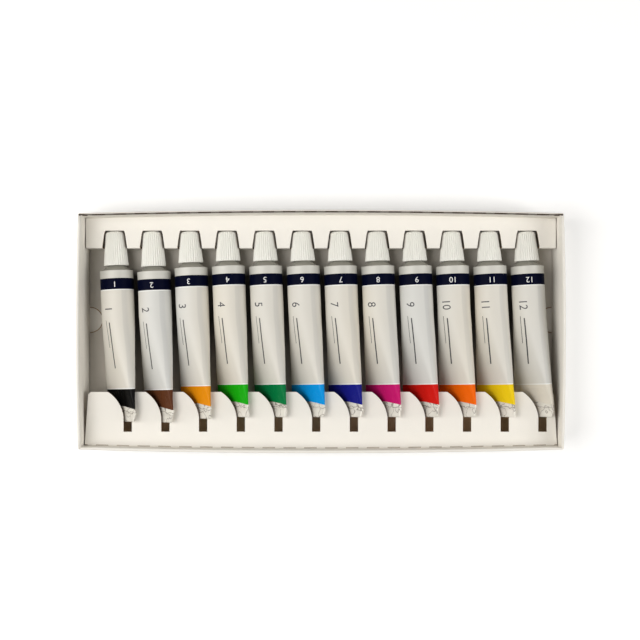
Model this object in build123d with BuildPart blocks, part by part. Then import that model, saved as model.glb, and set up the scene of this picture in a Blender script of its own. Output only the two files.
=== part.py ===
"""Boxed set of twelve small oil paint tubes.

An open card tray holds one folded card insert. The insert has a low rail that
takes the caps in notches and a high rail whose tongues hold the flattened
tails. Each tube is an aluminium shell full of paint, closed by a fluted cap.

Lengths are millimetres. The origin is the middle of the tray's underside,
+X runs along the row of tubes, +Y points to the caps, +Z is up.
"""

from build123d import *
from math import acos, cos, pi, radians, sin, tan
import os

os.makedirs("parts", exist_ok=True)

# Tray: one folded board with double walls
tray_height = 26.0
tray_wall = 1.4
tray_floor = 1.0
tray_long_bow = 1.6
tray_short_bow = 0.9
rim_bevel = 0.5
corner_nick = 1.5
corner_nick_depth = 2.5

# Card insert
card = 0.8
insert_lift_gap = 0.2
insert_side_gap = 0.25
fold_radius = 0.6
cap_rail_height = 13.0
cap_rail_depth = 14.25
tail_rail_height = 16.3
tail_rail_depth = 25.25
tail_rail_taper = 1.2
end_nick = 1.6
thumb_radius = 6.0
thumb_y = 5.6

# Row of tubes, from the left: how far each leans and is set back from the rest
tube_lean = (2.35, 2.3, 2.25, 2.15, 2.1, 2.3, 2.15, 2.3, 2.4, 2.1, 2.35, 2.5)
set_back = (2.2, 2.6, 0.8, 0, 0, 0, 0, 0, 0, 0, 0, 0)
tube_gap = 2.1
row_end_margin = 13.8
cap_end_margin = 6.25
tail_end_margin = 12.85
rest_gap = 0.2

# Tube shell
tube_diameter = 16.0
tube_wall = 0.2
body_length = 72.8
round_length = 22.0
crimp_depth = 6.7
crimp_thickness = 1.3
crimp_trim = 0.35
flat_thickness = 0.9
shoulder_height = 2.3
shoulder_thickness = 0.4
shoulder_top_radius = 4.3
neck_radius = 3.9
neck_length = 7.9
orifice_radius = 1.6
shell_sides = 24
neck_sides = 20

# Paint filling
paint_gap = 0.15
paint_reach = 0.9
inner_sides = 12

# Cap
cap_length = 14.2
cap_far_radius = 4.6
cap_near_radius = 6.04
cap_face_radius = 4.1
cap_bevel = 1.1
cap_seat_gap = 0.3
cap_bore_clearance = 0.08
cap_bore_extra = 0.3
grip_sides = 8
grip_turns = 3

# Notches for the caps and slots for the tails
notch_clearance = 0.45
slot_bias = 0.3
slot_width = 4.0
slot_end_gap = 6.7
front_cut_corner = 3.0
scoop_width = 7.5
scoop_depth = 12.1
scoop_mid = (0.66, 0.41)
tongue_nick_width = 0.9
tongue_nick_depth = 3.2

# Worked out from the sizes above
tube_radius = tube_diameter / 2
tube_count = len(tube_lean)
tube_pitch = tube_diameter + tube_gap
tube_reach = body_length + shoulder_height + cap_seat_gap + cap_length
insert_length = (tube_count - 1) * tube_pitch + 2 * row_end_margin
insert_width = cap_end_margin + tube_reach + tail_end_margin
inner_length = insert_length + 2 * insert_side_gap
inner_width = insert_width + 2 * insert_side_gap
tray_length = inner_length + 2 * tray_wall
tray_width = inner_width + 2 * tray_wall
rail_face_y = insert_width / 2
cap_end_y = rail_face_y - cap_end_margin
insert_bottom = tray_floor + insert_lift_gap
bed_top = insert_bottom + card
cap_rail_front = rail_face_y - cap_rail_depth
tail_rail_front = -rail_face_y + tail_rail_depth
shoulder_y = cap_end_y - cap_length - cap_seat_gap - shoulder_height
crimp_start = body_length - crimp_depth
cap_axis_y = cap_end_y - cap_length / 2
notch_end_y = cap_end_y + notch_clearance

# A tube keeps its girth as it is pressed flat, so a section of half thickness b
# has straight sides of half length (pi/2)(r - b). Tilted by the angle whose
# cosine is 2/pi, every section is as wide in plan as the round body.
crimp_tilt = acos(2 / pi)


def straight_half(half_thickness):
    """Half length of the flat sides of a section of the given half thickness."""
    return pi / 2 * (tube_radius - half_thickness)


crimp_half_length = straight_half(flat_thickness / 2) + flat_thickness / 2 - crimp_trim
crimp_half_height = (
    crimp_half_length * sin(crimp_tilt) + crimp_thickness / 2 * cos(crimp_tilt)
)
shoulder_axis_z = bed_top + rest_gap + tube_radius
tail_axis_z = bed_top + rest_gap + crimp_half_height
axis_rise = (tail_axis_z - shoulder_axis_z) / (body_length - crimp_depth / 2)
slot_end_y = shoulder_y - body_length - slot_end_gap


def row_x(index):
    """X of the middle of a cap notch."""
    return (index - (tube_count - 1) / 2) * tube_pitch


def mouth_plane(index):
    """Plane across a tube at its shoulder edge, normal out of the mouth, x along the crimp."""
    lean = tan(radians(tube_lean[index]))
    out = Vector(-lean, 1, -axis_rise).normalized()
    along = Vector(cos(crimp_tilt), 0, sin(crimp_tilt))
    along = (along - out * along.dot(out)).normalized()
    y = shoulder_y - set_back[index]
    x = row_x(index) + (cap_axis_y - y) * lean
    return Plane(origin=(x, y, shoulder_axis_z), x_dir=along, z_dir=out)


def cap_radius_at(distance, length):
    """Radius over the flutes of a cap at a distance from its open end."""
    return cap_near_radius + (cap_far_radius - cap_near_radius) * distance / length


def wall_line(start, end, bow):
    """One side of the tray's outline, straight or bowed outward by the given amount."""
    if bow == 0:
        Line(start, end)
    else:
        SagittaArc(start, end, bow)


def tray_outline(height, length, width, long_bow, short_bow):
    """Four-sided outline of the tray at the given height."""
    x = length / 2
    y = width / 2
    with BuildSketch(Plane.XY.offset(height)) as outline:
        with BuildLine():
            wall_line((-x, -y), (x, -y), -long_bow)
            wall_line((x, -y), (x, y), -short_bow)
            wall_line((x, y), (-x, y), -long_bow)
            wall_line((-x, y), (-x, -y), -short_bow)
        make_face()
    return outline.sketch.face()


# Tray: bowed walls on a straight base, with a bevelled rim
bevel_height = tray_height - rim_bevel
bevel_span = 2 * rim_bevel
outer_walls = [
    tray_outline(0, tray_length, tray_width, 0, 0),
    tray_outline(bevel_height, tray_length, tray_width, tray_long_bow, tray_short_bow),
    tray_outline(tray_height, tray_length - bevel_span, tray_width - bevel_span,
                 tray_long_bow, tray_short_bow),
]
inner_walls = [
    tray_outline(tray_floor, inner_length, inner_width, 0, 0),
    tray_outline(bevel_height, inner_length, inner_width, tray_long_bow, tray_short_bow),
    tray_outline(tray_height, inner_length + bevel_span, inner_width + bevel_span,
                 tray_long_bow, tray_short_bow),
]
with BuildPart() as tray:
    loft(outer_walls, ruled=True)
    loft(inner_walls, ruled=True, mode=Mode.SUBTRACT)
    # The inner plies are nicked at each corner so that they fold over the rim
    with BuildSketch(Plane.XY.offset(tray_height)):
        with GridLocations(inner_length, inner_width, 2, 2):
            Rectangle(corner_nick, corner_nick, rotation=45)
    extrude(amount=-corner_nick_depth, mode=Mode.SUBTRACT)
tray.part.label = "tray"
export_step(tray.part, "parts/tray.step")

# A tail crosses the high rail where its tilted crimp comes up to the card
tail_middle_y = shoulder_y - body_length + crimp_depth / 2
mean_lean = radians(sum(tube_lean) / tube_count)
crimp_shift = (cap_axis_y - tail_middle_y) * tan(mean_lean)
slot_offset = (
    crimp_shift + (tail_rail_height - card / 2 - tail_axis_z) / tan(crimp_tilt) + slot_bias
)

# Insert: one strip of card folded into two rails and the bed between them
with BuildPart() as insert:
    with BuildSketch(Plane.YZ):
        with BuildLine():
            Polyline(
                (rail_face_y, insert_bottom),
                (rail_face_y, cap_rail_height),
                (cap_rail_front, cap_rail_height),
                (cap_rail_front, bed_top),
                (card - rail_face_y, bed_top),
                (card - rail_face_y, tail_rail_height - card),
                (tail_rail_front, tail_rail_height - card),
                (tail_rail_front, tail_rail_height),
                (-rail_face_y, tail_rail_height),
                (-rail_face_y, insert_bottom),
                (cap_rail_front + card, insert_bottom),
                (cap_rail_front + card, cap_rail_height - card),
                (rail_face_y - card, cap_rail_height - card),
                (rail_face_y - card, insert_bottom),
                close=True,
            )
        make_face()
    extrude(amount=insert_length / 2, both=True)
    folds = insert.edges().filter_by(Axis.X)
    fillet(
        [
            folds.sort_by_distance((0, rail_face_y, cap_rail_height))[0],
            folds.sort_by_distance((0, cap_rail_front, cap_rail_height))[0],
            folds.sort_by_distance((0, -rail_face_y, insert_bottom))[0],
            folds.sort_by_distance((0, -rail_face_y, tail_rail_height))[0],
        ],
        fold_radius,
    )

    # Cap notches in the top of the low rail, each a little larger than its cap
    bevel_y = cap_end_y - cap_bevel
    front_y = cap_rail_front - card
    end_half = cap_face_radius + notch_clearance
    bevel_half = cap_far_radius + notch_clearance
    front_half = cap_radius_at(cap_length - (cap_end_y - front_y), cap_length) + notch_clearance
    with BuildSketch(Plane.XY.offset(cap_rail_height)):
        with Locations([(row_x(i), 0) for i in range(tube_count)]):
            Polygon(
                (-end_half, notch_end_y),
                (end_half, notch_end_y),
                (bevel_half, bevel_y),
                (front_half, front_y),
                (-front_half, front_y),
                (-bevel_half, bevel_y),
                align=None,
            )
    extrude(amount=-card, mode=Mode.SUBTRACT)

    # The notches run on over the fold as round-cornered cuts in the rail's front
    axis_z = shoulder_axis_z - (cap_rail_front - shoulder_y) * axis_rise
    with BuildSketch(Plane.XZ.offset(-cap_rail_front)):
        with Locations([(row_x(i), axis_z) for i in range(tube_count)]):
            RectangleRounded(2 * front_half, 2 * front_half, front_cut_corner)
    extrude(amount=-card, mode=Mode.SUBTRACT)

    # Scoops in the high rail, each narrowing into the slot that takes a tail
    with BuildSketch(Plane.XY.offset(tail_rail_height)):
        for i in range(tube_count):
            left = row_x(i) + slot_offset - slot_width / 2
            right = left + slot_width
            scoop_y = tail_rail_front - scoop_depth
            nick_y = tail_rail_front - tongue_nick_depth
            nick_x = right + tongue_nick_width
            past_y = tail_rail_front + card
            with BuildLine():
                ThreePointArc(
                    (left - scoop_width, tail_rail_front),
                    (left - scoop_width + scoop_mid[0] * scoop_width,
                     tail_rail_front - scoop_mid[1] * scoop_depth),
                    (left, scoop_y),
                )
                Polyline((left, scoop_y), (left, slot_end_y), (right, slot_end_y), (right, nick_y),
                         (nick_x, tail_rail_front), (nick_x, past_y),
                         (left - scoop_width, past_y), (left - scoop_width, tail_rail_front))
            make_face()
    extrude(amount=-card, mode=Mode.SUBTRACT)

    # Tapered ends and nicked corners of the high rail, and thumb cut-outs in the bed
    end_x = insert_length / 2
    front_end_x = end_x - tail_rail_taper
    with BuildSketch(Plane.XY.offset(tail_rail_height)):
        taper = Polygon(
            (end_x, -rail_face_y),
            (end_x, tail_rail_front),
            (front_end_x, tail_rail_front),
            align=None,
        )
        mirror(taper, about=Plane.YZ)
        with Locations((-front_end_x, tail_rail_front), (front_end_x, tail_rail_front)):
            Rectangle(end_nick, end_nick, rotation=45)
    extrude(amount=-card, mode=Mode.SUBTRACT)
    with BuildSketch(Plane.XY.offset(bed_top)):
        with Locations((-end_x, thumb_y), (end_x, thumb_y)):
            Circle(thumb_radius)
    extrude(amount=-card, mode=Mode.SUBTRACT)
insert.part.label = "insert"
export_step(insert.part, "parts/insert.step")


def ring(height, radius, sides, straight=0.0, turn=0.0):
    """Corners of a many-sided section at a height along a tube's own axis, which is Z here.

    The section is round, or drawn out along X, the crimp's direction, by a straight half length.
    """
    corners = []
    for side in range(sides):
        angle = radians(turn) + 2 * pi * (side + 0.5) / sides
        shift = straight if cos(angle) > 0 else -straight
        corners.append((shift + radius * cos(angle), radius * sin(angle), height))
    return corners


def half_thickness_at(distance):
    """Half thickness of a tube at a distance down from its shoulder edge."""
    pressed = max(0, distance - round_length) / (crimp_start - round_length)
    return tube_radius - (tube_radius - flat_thickness / 2) * pressed


def pressed_body(top, end, inset, sides):
    """Round body pressed flat towards its tail, inset from the outside of the tube."""
    rings = []
    for distance in (top, round_length, end):
        half_thickness = half_thickness_at(distance)
        straight = straight_half(half_thickness)
        rings.append(ring(-distance, half_thickness - inset, sides, straight))
    with BuildPart() as body:
        ConvexPolyhedron(rings[0] + rings[1])
        ConvexPolyhedron(rings[1] + rings[2])
    return body.part


def make_tube():
    """Aluminium shell: round body pressed flat to a folded tail, shoulder, neck and mouth."""
    outside = pressed_body(0, crimp_start, 0, shell_sides)
    room = pressed_body(shoulder_thickness, crimp_start - shoulder_thickness, tube_wall, inner_sides)
    mouth = shoulder_height + neck_length
    with BuildPart() as tube:
        add(outside)
        ConvexPolyhedron(
            ring(0, tube_radius, shell_sides)
            + ring(shoulder_height, shoulder_top_radius, shell_sides)
        )
        ConvexPolyhedron(
            ring(shoulder_height / 2, neck_radius, neck_sides) + ring(mouth, neck_radius, neck_sides)
        )
        # Tail folded over itself into a flat bar
        with BuildSketch(Plane.XY.offset(-crimp_start)):
            Rectangle(2 * crimp_half_length, crimp_thickness)
        extrude(amount=-crimp_depth)
        # Room for the paint, and the mouth
        add(room, mode=Mode.SUBTRACT)
        with BuildSketch(Plane.XY.offset(mouth)):
            Circle(orifice_radius)
        extrude(amount=-mouth - 2 * shoulder_thickness, mode=Mode.SUBTRACT)
    return tube.part


def make_paint():
    """Paint that fills a tube from its shoulder to just short of the folded tail."""
    end = round_length + paint_reach * (crimp_start - round_length)
    return pressed_body(shoulder_thickness + paint_gap, end, tube_wall + paint_gap, inner_sides)


def make_cap(length):
    """Tapered screw cap: polygons turned into each other make its ribs, with a bore for the neck."""
    seat = shoulder_height + cap_seat_gap
    bevel_at = length - cap_bevel
    bevel_radius = cap_radius_at(bevel_at, length)
    bore_radius = (neck_radius + cap_bore_clearance) / cos(pi / neck_sides)
    bore_end = shoulder_height + neck_length + cap_bore_extra
    rib_step = 360 / (grip_sides * grip_turns)
    with BuildPart() as cap:
        for turn in range(grip_turns):
            ConvexPolyhedron(
                ring(seat, cap_near_radius, grip_sides, turn=turn * rib_step)
                + ring(seat + bevel_at, bevel_radius, grip_sides, turn=turn * rib_step)
                + ring(seat + length, cap_face_radius, grip_sides, turn=turn * rib_step)
            )
        ConvexPolyhedron(
            ring(seat, bore_radius, neck_sides) + ring(bore_end, bore_radius, neck_sides),
            mode=Mode.SUBTRACT,
        )
    return cap.part


# Tubes, their paint and their caps: each is made along its own axis, then laid in its notch
tube_shell = make_tube()
paint_filling = make_paint()
for i in range(tube_count):
    number = f"{i + 1:02d}"
    place = mouth_plane(i).location
    tube = tube_shell.moved(place)
    tube.label = f"tube_{number}"
    export_step(tube, f"parts/tube_{number}.step")
    paint = paint_filling.moved(place)
    paint.label = f"paint_{number}"
    export_step(paint, f"parts/paint_{number}.step")
    cap = make_cap(cap_length + set_back[i]).moved(place)
    cap.label = f"cap_{number}"
    export_step(cap, f"parts/cap_{number}.step")
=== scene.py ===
"""Looks of an open card tray with twelve small oil paint tubes in a folded card insert."""

from cmath import phase, rect
from math import acos, atan2, copysign, cos, hypot, pi, radians, sin, tan

import bmesh
import bpy
from mathutils import Matrix, Vector
from mathutils.geometry import delaunay_2d_cdt


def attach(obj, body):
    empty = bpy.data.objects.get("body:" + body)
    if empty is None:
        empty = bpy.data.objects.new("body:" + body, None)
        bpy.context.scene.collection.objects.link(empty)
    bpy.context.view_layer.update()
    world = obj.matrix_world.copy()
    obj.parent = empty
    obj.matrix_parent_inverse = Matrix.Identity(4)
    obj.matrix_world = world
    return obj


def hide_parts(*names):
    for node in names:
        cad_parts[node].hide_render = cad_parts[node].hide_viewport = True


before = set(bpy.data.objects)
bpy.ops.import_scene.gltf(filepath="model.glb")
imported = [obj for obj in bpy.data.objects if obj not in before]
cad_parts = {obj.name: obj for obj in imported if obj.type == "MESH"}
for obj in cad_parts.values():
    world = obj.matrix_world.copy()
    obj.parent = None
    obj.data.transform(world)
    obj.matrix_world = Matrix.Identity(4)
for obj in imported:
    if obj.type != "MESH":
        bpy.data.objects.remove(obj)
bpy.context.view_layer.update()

MM = 0.001  # lengths below are millimetres, and the scene is in metres
MAP_SCALE = 100.0  # millimetres for each unit of a mesh's maps
MAP_START = 1.98  # where the flat maps have the middle of the tray
WRAP_MIDDLE = 50.0  # where the tubes' maps have the tail's raised edge

# Tray
TRAY_LENGTH = 230.0
TRAY_WIDTH = 112.0
TRAY_HEIGHT = 26.0
TRAY_WALL = 1.4
TRAY_FLOOR = 1.0
LONG_BOW = 1.6
SHORT_BOW = 0.9
FULL_BOW_HEIGHT = 14.0
FOOT_ROUNDING = 0.4
WALL_STEPS = 6
RIM_STEPS = 8
SIDE_STEPS = 36
CORNER_STEPS = 4
OUTER_CORNER_RADIUS = 1.0
INNER_CORNER_RADIUS = 0.35
SEAM_DEPTH = 0.3
NICK_REACH = 1.5
NICK_PUSH = 0.4
NICK_DROP = 0.6
NICK_HEIGHT = 23.0
RIM_CREASE = 1.1
SKIP_CUT_PITCH = 10.0
SKIP_CUT_SHARE = 0.6
SKIP_CUT_WIDTH = 0.8
RAIL_CUT_WIDTH = 0.45
# Painted shade: between the skip cuts the rim line stays this dark
SKIP_CUT_SHADE = 0.88
NICK_MARK = (1.4, 0.6)
NICK_MARK_IN = 1.8
NICK_MARK_FROM = 22.5

# Insert
CARD = 0.8
INSERT_HALF = 113.35
FOLD_RADIUS = 0.45
WALL_FOLD_CRISPNESS = 0.34
FRONT_FOLD_CRISPNESS = 0.15
FOLD_STEPS = 5
RAIL_FACE_Y = 54.35
INSERT_BOTTOM = 1.2
CAP_RAIL_TOP = 13.0
CAP_RAIL_FRONT = 40.1
TAIL_RAIL_TOP = 16.3
TAIL_RAIL_FRONT = -29.1
TAIL_RAIL_TAPER = 1.75
END_NICK = 1.13
THUMB_RADIUS = 6.0
THUMB_Y = 5.6
THUMB_EDGE = 0.4
THUMB_STEPS = 32
ON_THUMB_EDGE = 0.1
NOTCH_END_Y = 48.55
NOTCH_BEVEL_Y = 47.0
NOTCH_END_HALF = 4.55
NOTCH_BEVEL_HALF = 5.05
NOTCH_FRONT_HALF = 5.94
NOTCH_FOOT_Z = 4.05
NOTCH_FOOT_RADIUS = 3.0
NOTCH_STEPS = 4
SLOT_OFFSET = 6.8
SLOT_WIDTH = 4.0
SLOT_END_Y = -48.2
SCOOP_WIDTH = 7.5
SCOOP_DEPTH = 12.1
SCOOP_MID = (0.66, 0.41)
SCOOP_STEPS = 12
TONGUE_NICK_WIDTH = 0.9
TONGUE_NICK_DEPTH = 3.2
PAST_EDGE = 1.0  # how far a cut-out runs on past the strip
# Where the brown card with painted shade under the tail rail begins
INSIDE_FROM_Y = -31.0
BOW_REACH = 6.0
# Painted shade on the bed under the row of tubes, and in the gaps beside the tail rail's ends
SHADED_HALF_X = 104.0
SHADED_TO_Y = 29.0
SHADE_SOFTNESS = 4.0
SHADE_FADE = 60.0
SHADE_AT_MIDDLE = 0.9
END_SHADE_FROM = 111.0
END_SHADE_SOFTNESS = 0.8
WALL_GAP = 0.02
ROW_STEPS = 36

# Row of tubes
TUBE_COUNT = 12
TUBE_PITCH = 18.1
TUBE_LEAN = (2.35, 2.3, 2.25, 2.15, 2.1, 2.3, 2.15, 2.3, 2.4, 2.1, 2.35, 2.5)
SET_BACK = (2.2, 2.6, 0.8, 0.0, 0.0, 0.0, 0.0, 0.0, 0.0, 0.0, 0.0, 0.0)
LABEL_ROLL = (0.6, 0.2, -0.2, 0.5, 0.3, -0.1, 0.4, 0.1, 0.5, -0.2, 0.3, 0.2)
# Painted shade strip on each label: where it starts and ends round the tube, in millimetres
LABEL_SHADE_START = -2.2
LABEL_SHADE_SOFT_START = 0.7
LABEL_SHADE_END = 0.7
LABEL_SHADE_SOFT_END = 1.6
LABEL_SHADE_WAVER = 1.4
SHOULDER_Y = 31.3
SHOULDER_AXIS_Z = 10.2
CAP_AXIS_Y = 41.0
AXIS_RISE = 0.02357
CRIMP_TILT = acos(2 / pi)

# Tube
TUBE_RADIUS = 8.0
ROUND_LENGTH = 22.0
CRIMP_START = 66.1
TUBE_LENGTH = 72.8
FLAT_HALF = 0.45
CRIMP_HALF = 11.95
CRIMP_THICKNESS = 1.3
CRIMP_SLANT = 0.75
CRIMP_CREASE = 2.3
CREASE_WAVER = 2.2
CREASE_WIDTH = 0.18
CRIMP_SHIFT = 0.13
CRIMP_FULLNESS = 1.15
CRIMP_TOP = ((0.05, 0.08), (0.25, 0.0), (2.6, 0.02), (2.9, 0.16), (3.2, 0.02), (4.8, 0.0))
CRIMP_FOOT = ((0.35, 0.02), (0.08, 0.2), (0.0, 0.45))
CURL_FROM = 7.5
CURL_SPAN = 4.5
CURL = (0.1, 0.45, 5.2)
BUCKLE = (0.07, 0.9, 2.3)
CORNER_TURN = (0.9, 0.5, 1.7)
SLANT_REACH = 4.0
SLANT_HALF = 5.0
PRESS_BLEND = 0.1
COLLAR_END = 3.8
NAVY_END = 9.1
LABEL_END = 57.1
EDGE_LINE = 0.45
STATION_STEP = 1.6
JUST_PAST = 0.01
BODY_START = 0.35
GIRTH_STEPS = (0.0, 0.2, 0.4, 0.6, 0.85, 1.2, 1.7, 2.4, 3.3, 4.4, 5.6, 6.9, 8.3, 9.7, 11.1)
WRINKLE_START = 44.0
WRINKLE_DEPTH = 0.22
RIPPLE_DEPTH = 0.07
RIPPLE_FADE = 6.0
RIPPLE_WAVE = (0.33, 0.25, 2.1)  # radians for each millimetre down and round, and each tube
CREASE_WAVES = ((0.0, 0.62, 1.3), (0.42, 0.31, 0.8))
SHOULDER_HEIGHT = 2.3
SHOULDER_CURVE = ((0.62, 5.45), (0.33, 6.45), (0.10, 7.2))
COLLAR_EDGE = ((0.10, 7.55), (0.12, 7.92), (0.02, 8.06))
NECK_RADIUS = 3.9
NECK_END = 10.2
THREAD_PITCH = 1.6
THREAD_DEPTH = 0.3
THREAD_STEPS = 26
THREAD_GAPS = (0.25, 0.2)
ORIFICE_RADIUS = 1.6
ORIFICE_EDGE = ((1.5, 0.0), (0.2, 0.0), (0.0, 0.25))  # below the neck's end, out from the orifice
NECK_EDGE = ((0.0, 0.75), (0.25, 0.35))  # below the neck's end, in from its side
NECK_FOOT = ((0.1, 3.8), (0.0, 4.3), (-0.25, 4.6))  # over the shoulder, radius

# Cap
CAP_LENGTH = 14.2
CAP_START = 2.6
CAP_NEAR_RADIUS = 6.02
CAP_FAR_RADIUS = 4.58
CAP_BEVEL = 1.1
CAP_FLUTES = 30
FLUTE_STEPS = 6
FLUTE_DEPTH = 0.42
FLUTE_SHARPNESS = 1.5
CAP_SIDE_START = 0.4
CAP_SIDE_STEPS = 6
CAP_SIDE_SHARE = 0.85
CAP_SHOULDER = (0.605, 0.18, 0.9)  # before the end, in from the side, share of the flutes
CAP_RIM = ((0.25, 4.05, 0.0), (0.0, 4.25, 0.0), (0.0, 5.52, 0.0), (0.12, 5.86, 0.3))
CAP_FACE = ((0.165, 4.13, 0.45), (0.0, 3.8, 0.0), (0.0, 3.15, 0.0), (0.12, 3.0, 0.0))
BORE_RADIUS = 4.05
BORE_END = 10.5

# Material slots of the insert and of a tube
CARD_ZONE, EDGE_ZONE, INSIDE_ZONE, BED_ZONE = range(4)
COLLAR_ZONE, NAVY_ZONE, LABEL_ZONE, LINE_ZONE, BAND_ZONE, CRIMP_ZONE, MOUTH_ZONE = range(7)

# Print
INK_LIFT = 0.03
STRIP_STEP = 0.7
BAR_STEP = 2.0
HALVINGS = 24
PRINT_DRIFT = 0.07
PRINT_FROM = 16.0
LABEL_NUMBER_SIZE = 5.2
BAND_NUMBER_SIZE = 3.8
LABEL_NUMBER_AT = (-4.4, 18.5)  # right of the tube's middle, down from its shoulder
BAND_NUMBER_AT = (-0.5, 6.6)
RULES = ((22.0, 0.5, -4.5, 36.0), (13.0, 0.2, -6.1, 30.5))  # length, width and place

# Grain: repeats for each metre, detail and roughness
CARD_CLOUDS = (60, 3, 0.55)
CARD_FIBRES = (900, 4, 0.6)
CARD_TOOTH = (2600, 2, 0.5)
ROLLED_LINES = (1500, 3, 0.6)
RUBBED_PATCHES = (120, 3, 0.55)
METAL_DENTS = (70, 1, 0.4)
PLASTIC_FLOW = (150, 2, 0.5)
PLASTIC_SKIN = (5000, 2, 0.5)
FOIL_FOLDS = (230, 1, 0.4)
FOIL_FACETS = (520, 1, 0.5)
LABEL_DRIFT = (33, 0, 0.0)
LABEL_SHADE_EDGE = (45, 1, 0.5)
CREASE_EDGE = (380, 2, 0.6)

# Strength of the grain, and height of the relief in millimetres
FIBRE_SHARE = 0.4
RUB_TO_GLOSS = 0.25
LINES_TO_GLOSS = 0.06
LINES_TO_HEIGHT = 0.12
FOLD_DEPTH = 0.6
# How dark painted shade makes the crimp's folds
FOLD_SHADE_STRENGTH = 0.9
CUT_DEPTH = 3.0
LABEL_CONTRAST = 2.6
CARD_RELIEF = 0.35
PRINT_RELIEF = 0.2
GRAIN_HEIGHT = 0.1
FOLD_HEIGHT = 0.4
SKIN_HEIGHT = 0.05

# Colours, as they look in even light, except the painted shade noted below
CARD_WHITE = (0.855, 0.825, 0.765)
# Painted shade: the bed is the white card painted darker, and BED_SHADE is darker still between the tubes
CARD_BED_PAINTED_SHADE = (0.59, 0.555, 0.50)
BED_SHADE = (0.07, 0.064, 0.056)
CARD_EDGE = (0.29, 0.19, 0.11)
# Painted shade: brown card under the tail rail, darker for what is seen through the slots
CARD_UNDER_RAIL_PAINTED_SHADE = (0.62, 0.46, 0.29)
# Dark of the rim's skip cuts, and painted shade in the rim line, the nicks and the gaps beside the tail
# rail's ends
CUT_AND_PAINTED_SHADE_DARK = (0.06, 0.042, 0.03)
# Painted shade: grey dashes along the tail rail's rear fold, for the shade under the skip cuts' small bumps
RAIL_CUT_PAINTED_SHADE = (0.52, 0.47, 0.41)
LABEL_WARM = (0.735, 0.690, 0.600)
LABEL_COOL = (0.668, 0.664, 0.632)
# Painted shade: the greyer strip down each label's right flank
LABEL_SHADE_TONE = (0.90, 0.905, 0.915)
LABEL_LINE = (0.87, 0.87, 0.85)
NAVY = (0.002, 0.003, 0.014)
BARE_METAL = (0.74, 0.715, 0.65)
COLLAR_METAL = (0.56, 0.55, 0.505)
# Painted shade: the shoulder and neck are bare metal, painted darker than the crimp
SHOULDER_METAL_PAINTED_SHADE = (0.36, 0.35, 0.31)
# Painted shade in the crimp's folds and crease
FOLD_PAINTED_SHADE = (0.16, 0.13, 0.11)
CAP_WHITE = (0.82, 0.815, 0.76)
INK_GREY = (0.055, 0.055, 0.060)
INK_WHITE = (0.80, 0.80, 0.80)
PAINTS = (
    ("black", (0.003, 0.003, 0.003)),
    ("burnt_umber", (0.105, 0.035, 0.014)),
    ("yellow_ochre", (0.780, 0.270, 0.005)),
    ("light_green", (0.010, 0.400, 0.006)),
    ("deep_green", (0.002, 0.180, 0.050)),
    ("sky_blue", (0.004, 0.300, 0.760)),
    ("ultramarine", (0.010, 0.012, 0.220)),
    ("magenta", (0.560, 0.010, 0.150)),
    ("red", (0.640, 0.012, 0.008)),
    ("orange", (0.900, 0.140, 0.004)),
    ("yellow", (0.880, 0.620, 0.010)),
    ("white", (0.780, 0.775, 0.750)),
)

# Camera, light and floor; the lamps (place, size, watts, colour) and the floor are in metres
CAMERA_HEIGHT = 623.0
FOCAL_PIXELS = 1264.0
FRAME_PIXELS = 640.0
CENTRE_PIXEL = (320.9, 331.3)
SENSOR = 36.0
WARM_WHITE = (1.0, 0.985, 0.96)
LAMPS = (
    ("key", (-0.38, -0.05, 0.68), (0.50, 0.42), 3.2, WARM_WHITE),
    ("low", (-0.62, 0.02, 0.33), (0.20, 0.40), 1.1, WARM_WHITE),
    ("edge", (0.55, -0.06, 0.42), (0.20, 0.40), 1.95, (1.0, 0.99, 0.97)),
)
WORLD_STRENGTH = 0.24
BACKDROP = 0.97
FLOOR_COLOUR = (0.90, 0.90, 0.90)
FLOOR_LIFT = 0.22
FLOOR_HALF = 3.0


# Shader groups


def put(tree, value, socket):
    """Gives a socket a number, a vector or a colour, or links it to another socket."""
    if isinstance(value, bpy.types.NodeSocket):
        tree.links.new(value, socket)
    elif socket.type == "RGBA":
        socket.default_value = (*value, 1.0)
    else:
        socket.default_value = value


def object_position(tree):
    return tree.nodes.new("ShaderNodeTexCoord").outputs["Object"]


def new_group(name, inputs, *outputs):
    """Shader group of numbers; returns it, its inputs, its outputs and the place on the piece."""
    group = bpy.data.node_groups.new(name, "ShaderNodeTree")
    for label, value in inputs.items():
        socket = group.interface.new_socket(label, in_out="INPUT", socket_type="NodeSocketFloat")
        socket.default_value = value
    for label in outputs:
        group.interface.new_socket(label, in_out="OUTPUT", socket_type="NodeSocketFloat")
    given = group.nodes.new("NodeGroupInput").outputs
    made = group.nodes.new("NodeGroupOutput").inputs
    return group, given, made, object_position(group)


def math_node(tree, operation, *values, clamp=False):
    """Math node whose inputs are sockets or numbers; returns its output."""
    node = tree.nodes.new("ShaderNodeMath")
    node.operation = operation
    node.use_clamp = clamp
    for socket, value in zip(node.inputs, values):
        put(tree, value, socket)
    return node.outputs[0]


def times_plus(tree, first, second, third, clamp=False):
    """First times second, plus third."""
    return math_node(tree, "MULTIPLY_ADD", first, second, third, clamp=clamp)


def apart(tree, first, second):
    """How far two values are from each other."""
    return math_node(tree, "ABSOLUTE", math_node(tree, "SUBTRACT", first, second))


def soft_step(tree, value, edge, softness):
    """0 before an edge and 1 past it, with a ramp between; a negative softness turns it round."""
    past = math_node(tree, "SUBTRACT", value, edge)
    return times_plus(tree, past, 1 / softness, 0.5, clamp=True)


def vector_node(tree, operation, first, second):
    """Position or colour times a vector, or scaled by a number; each is a socket or a value."""
    node = tree.nodes.new("ShaderNodeVectorMath")
    node.operation = operation
    put(tree, first, node.inputs[0])
    put(tree, second, node.inputs["Scale" if operation == "SCALE" else 1])
    return node.outputs[0]


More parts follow.
